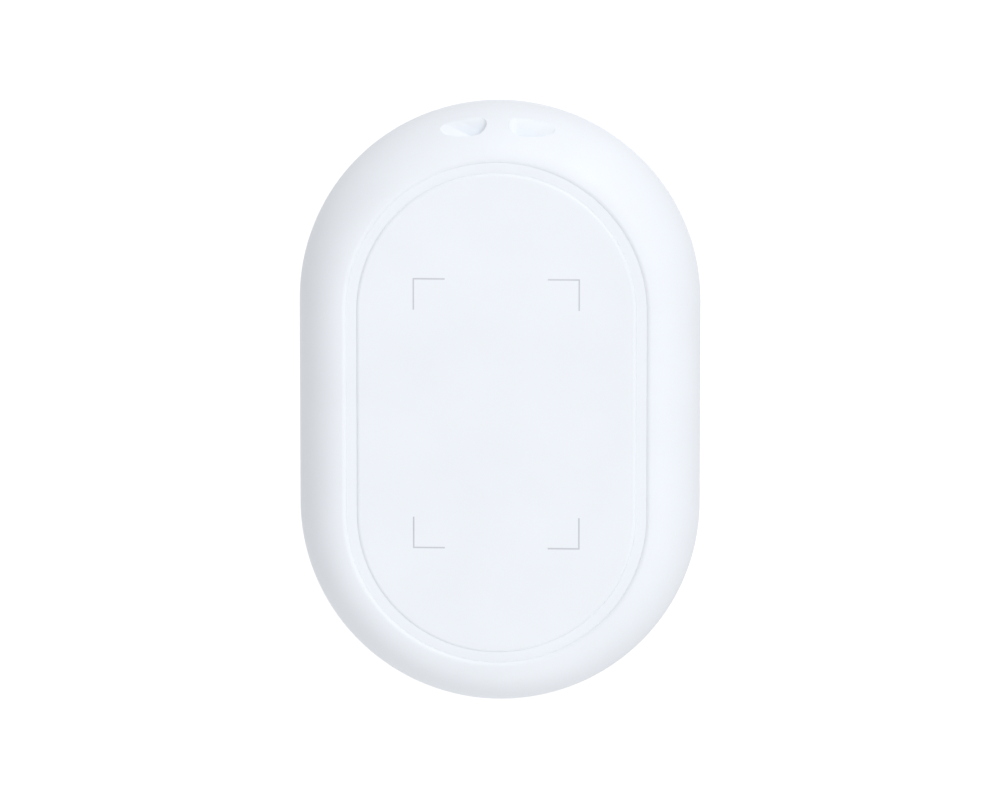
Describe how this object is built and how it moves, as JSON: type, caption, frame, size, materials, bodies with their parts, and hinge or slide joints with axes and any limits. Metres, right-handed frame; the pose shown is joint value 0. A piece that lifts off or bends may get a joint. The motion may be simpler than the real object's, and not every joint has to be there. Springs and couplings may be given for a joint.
{
  "type": "bluetooth tracker tag",
  "caption": "Flat stadium-shaped radio tracker tag with a pressable face, a domed rim with two strap scoops, and a twist-off battery door in the back.",
  "frame": {"origin": "on the back plane, midway between the two round ends and centred across the tag", "axes": "+X across the tag, +Y along it towards the strap end, +Z out of the pressable face"},
  "size_m": [0.036, 0.0544, 0.009],
  "materials": {
    "shell_white": "fine satin moulded plastic",
    "panel_white": "smooth matte moulded plastic",
    "seal_white": "soft matte elastomer",
    "seal_grey": "matte elastomer",
    "holder_grey": "matte moulded plastic",
    "board_green": "solder mask over glass laminate",
    "chip_black": "moulded epoxy",
    "shield_tin": "tin-plated sheet",
    "crystal_can": "plated metal lid",
    "antenna_ceramic": "bare ceramic",
    "capacitor_tan": "bare ceramic",
    "cell_steel": "nickel-plated steel",
    "contact_gold": "gold-plated spring metal",
    "disc_brass": "plain rolled sheet",
    "piezo_ceramic": "fired ceramic with a metal film",
    "adhesive": "foam adhesive tape",
    "screw_steel": "dark plated steel"
  },
  "bodies": {
    "body": {"front_shell": "shell_white", "face_seal": "seal_white", "rear_cover": "shell_white", "shell_gasket": "seal_grey", "battery_holder": "holder_grey", "cell_can": "cell_steel", "cell_cap": "cell_steel", "cell_gasket": "seal_grey", "battery_contact_positive": "contact_gold", "battery_contact_negative": "contact_gold", "screw_1": "screw_steel", "screw_2": "screw_steel", "screw_3": "screw_steel", "screw_4": "screw_steel", "circuit_board": "board_green", "radio_chip": "chip_black", "chip_antenna": "antenna_ceramic", "crystal_main": "crystal_can", "crystal_clock": "crystal_can", "inductor": "chip_black", "capacitor_1": "capacitor_tan", "capacitor_2": "capacitor_tan", "capacitor_3": "capacitor_tan", "capacitor_4": "capacitor_tan", "resistor_1": "chip_black", "resistor_2": "chip_black", "shield_can": "shield_tin", "switch_housing": "chip_black", "switch_cover": "shield_tin", "switch_dome": "contact_gold", "buzzer_adhesive": "adhesive", "buzzer_disc": "disc_brass", "buzzer_ceramic": "piezo_ceramic", "buzzer_spring_1": "contact_gold", "buzzer_spring_2": "contact_gold"},
    "face": {"face_panel": "panel_white"},
    "plunger": {"switch_plunger": "holder_grey"},
    "door": {"battery_door": "shell_white", "door_seal": "seal_grey"}
  },
  "joints": [
    {"name": "face_press", "type": "slide", "parent": "body", "child": "face", "axis": [0, 0, -1], "range_m": [0, 0.00025], "stiffness_N_per_m": 7000},
    {"name": "plunger_press", "type": "slide", "parent": "body", "child": "plunger", "axis": [0, 0, -1], "range_m": [0, 0.00025]},
    {"name": "door_twist", "type": "hinge", "parent": "body", "child": "door", "pos_m": [0, -0.0065, 0], "axis": [0, 0, -1], "range_deg": [0, 30]}
  ],
  "couplings": [
    {"joint": "plunger_press", "follows": "face_press", "ratio": 1}
  ]
}
